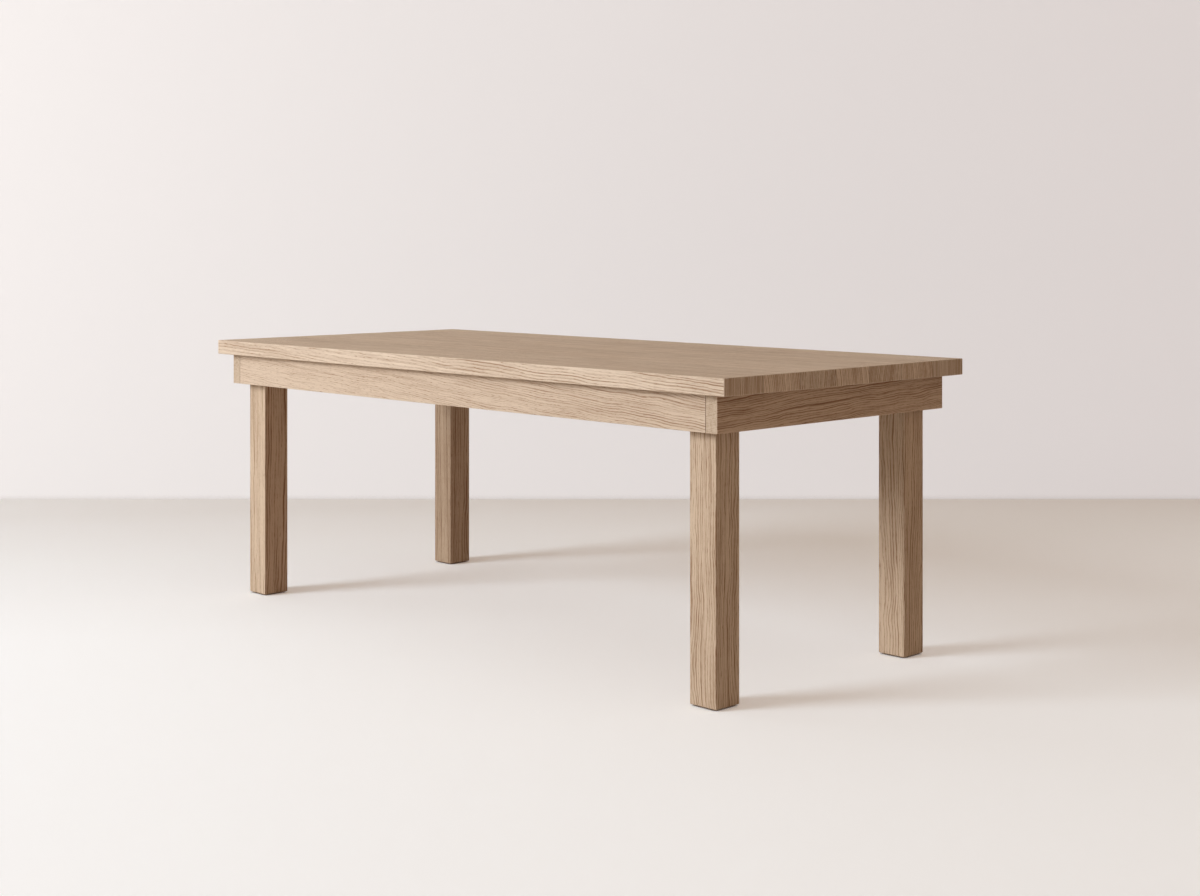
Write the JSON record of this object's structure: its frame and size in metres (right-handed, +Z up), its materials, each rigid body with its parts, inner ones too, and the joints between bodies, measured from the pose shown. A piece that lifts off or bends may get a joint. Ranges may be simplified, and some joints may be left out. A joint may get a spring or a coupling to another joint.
{
  "type": "dining table",
  "caption": "Rectangular oak dining table: thick plank top that overhangs a deep apron frame, square legs set inside the frame's corners, screw levelling feet.",
  "frame": {"origin": "on the floor under the middle of the top", "axes": "+X along the length to the right, +Y from the front to the rear, +Z up"},
  "size_m": [2.032, 0.914, 0.756],
  "materials": {
    "oak_top": "matte natural oak",
    "oak_apron": "matte natural oak",
    "oak_leg": "matte natural oak",
    "inner_wood": "bare planed hardwood",
    "zinc_steel": "zinc plated",
    "pad_nylon": "moulded nylon"
  },
  "bodies": {
    "table": {"top_board_1": "oak_top", "top_board_2": "oak_top", "top_board_3": "oak_top", "top_board_4": "oak_top", "top_board_5": "oak_top", "top_board_6": "oak_top", "top_board_7": "oak_top", "front_apron": "oak_apron", "rear_apron": "oak_apron", "left_end_apron": "oak_apron", "right_end_apron": "oak_apron", "batten_1": "inner_wood", "batten_2": "inner_wood", "batten_3": "inner_wood", "leg_front_left": "oak_leg", "leg_front_right": "oak_leg", "leg_rear_left": "oak_leg", "leg_rear_right": "oak_leg", "corner_block_front_left": "inner_wood", "corner_block_front_right": "inner_wood", "corner_block_rear_left": "inner_wood", "corner_block_rear_right": "inner_wood", "apron_dowels": "inner_wood", "hanger_bolts": "zinc_steel", "hanger_bolt_washers": "zinc_steel", "hanger_bolt_nuts": "zinc_steel", "corner_block_screws": "zinc_steel", "foot_inserts": "zinc_steel", "batten_screws": "zinc_steel", "batten_washers": "zinc_steel", "top_clips": "zinc_steel", "top_clip_screws": "zinc_steel"},
    "foot_pad_front_left": {"foot_pad_front_left": "pad_nylon"},
    "foot_screw_front_left": {"foot_screw_front_left": "zinc_steel"},
    "foot_pad_front_right": {"foot_pad_front_right": "pad_nylon"},
    "foot_screw_front_right": {"foot_screw_front_right": "zinc_steel"},
    "foot_pad_rear_left": {"foot_pad_rear_left": "pad_nylon"},
    "foot_screw_rear_left": {"foot_screw_rear_left": "zinc_steel"},
    "foot_pad_rear_right": {"foot_pad_rear_right": "pad_nylon"},
    "foot_screw_rear_right": {"foot_screw_rear_right": "zinc_steel"}
  },
  "joints": [
    {"name": "foot_travel_front_left", "type": "slide", "parent": "table", "child": "foot_pad_front_left", "axis": [0, 0, -1], "range_m": [0, 0.015]},
    {"name": "foot_screw_turn_front_left", "type": "hinge", "parent": "foot_pad_front_left", "child": "foot_screw_front_left", "pos_m": [-0.897, -0.356, 0], "axis": [0, 0, -1], "range_deg": [0, 4325]},
    {"name": "foot_travel_front_right", "type": "slide", "parent": "table", "child": "foot_pad_front_right", "axis": [0, 0, -1], "range_m": [0, 0.015]},
    {"name": "foot_screw_turn_front_right", "type": "hinge", "parent": "foot_pad_front_right", "child": "foot_screw_front_right", "pos_m": [0.897, -0.356, 0], "axis": [0, 0, -1], "range_deg": [0, 4325]},
    {"name": "foot_travel_rear_left", "type": "slide", "parent": "table", "child": "foot_pad_rear_left", "axis": [0, 0, -1], "range_m": [0, 0.015]},
    {"name": "foot_screw_turn_rear_left", "type": "hinge", "parent": "foot_pad_rear_left", "child": "foot_screw_rear_left", "pos_m": [-0.897, 0.356, 0], "axis": [0, 0, -1], "range_deg": [0, 4325]},
    {"name": "foot_travel_rear_right", "type": "slide", "parent": "table", "child": "foot_pad_rear_right", "axis": [0, 0, -1], "range_m": [0, 0.015]},
    {"name": "foot_screw_turn_rear_right", "type": "hinge", "parent": "foot_pad_rear_right", "child": "foot_screw_rear_right", "pos_m": [0.897, 0.356, 0], "axis": [0, 0, -1], "range_deg": [0, 4325]}
  ],
  "couplings": [
    {"joint": "foot_screw_turn_front_left", "follows": "foot_travel_front_left", "rad_per_m": 5026.5},
    {"joint": "foot_screw_turn_front_right", "follows": "foot_travel_front_right", "rad_per_m": 5026.5},
    {"joint": "foot_screw_turn_rear_left", "follows": "foot_travel_rear_left", "rad_per_m": 5026.5},
    {"joint": "foot_screw_turn_rear_right", "follows": "foot_travel_rear_right", "rad_per_m": 5026.5}
  ]
}
